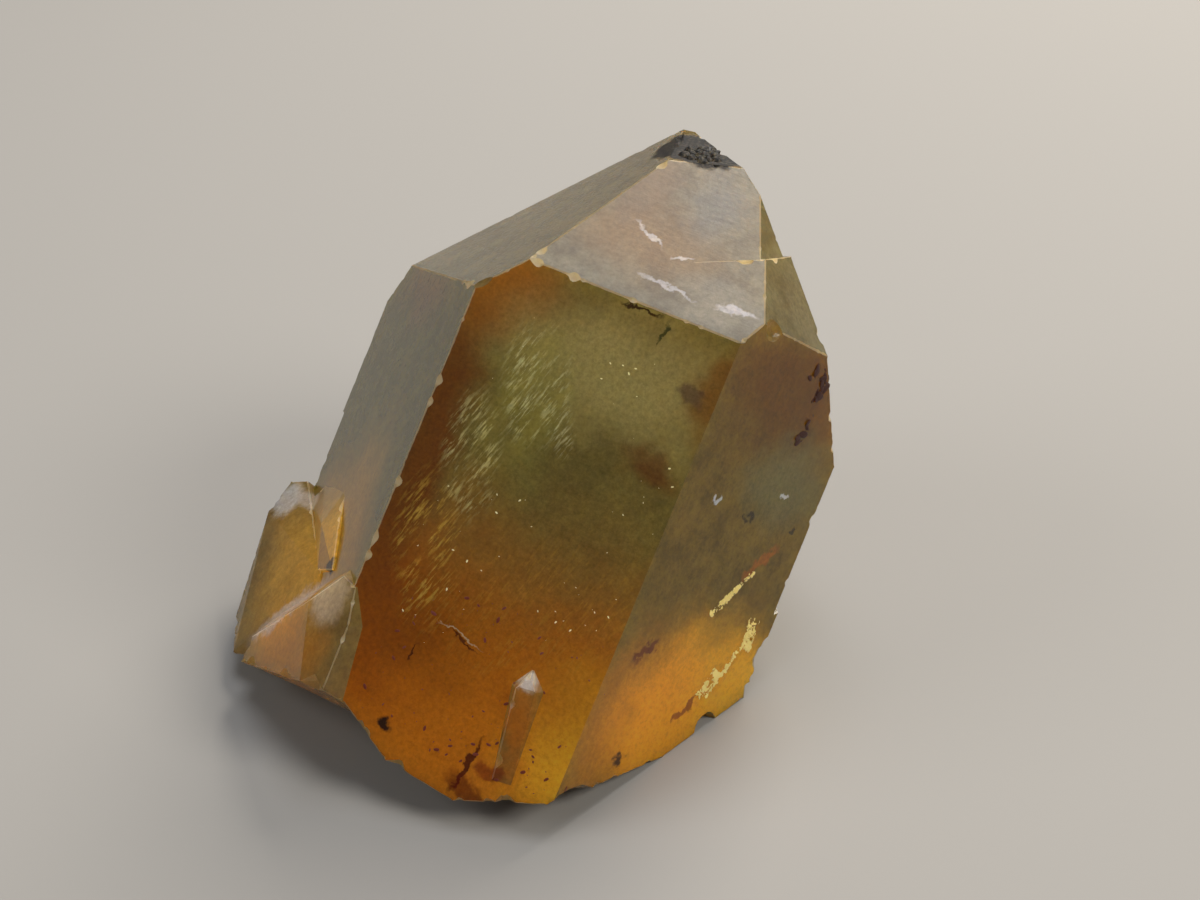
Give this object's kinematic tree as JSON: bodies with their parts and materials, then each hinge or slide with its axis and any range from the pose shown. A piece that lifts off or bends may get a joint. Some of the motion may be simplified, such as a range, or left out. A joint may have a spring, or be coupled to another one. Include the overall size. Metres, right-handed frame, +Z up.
{
  "type": "citrine crystal point",
  "caption": "Stout honey-brown citrine crystal point leaning on its broken foot, with small crystals grown into its lower left edge and a dark crust on its chipped tip.",
  "frame": {"origin": "middle of the bounding box's bottom, on the surface that the crystal stands on", "axes": "+Z up, the shortest side of the box; +Y away from the viewer who sees the broad front face, +X to that viewer's right. The long axis of the crystal leans back and to the right."},
  "size_m": [0.0476, 0.0474, 0.0369],
  "materials": {
    "citrine": "clear to veiled honey-brown quartz, polished by growth on its flat faces, finely frosted on the point and chipped white along its edges"
  },
  "bodies": {
    "root": {"citrine_crystal": "citrine"}
  },
  "joints": []
}
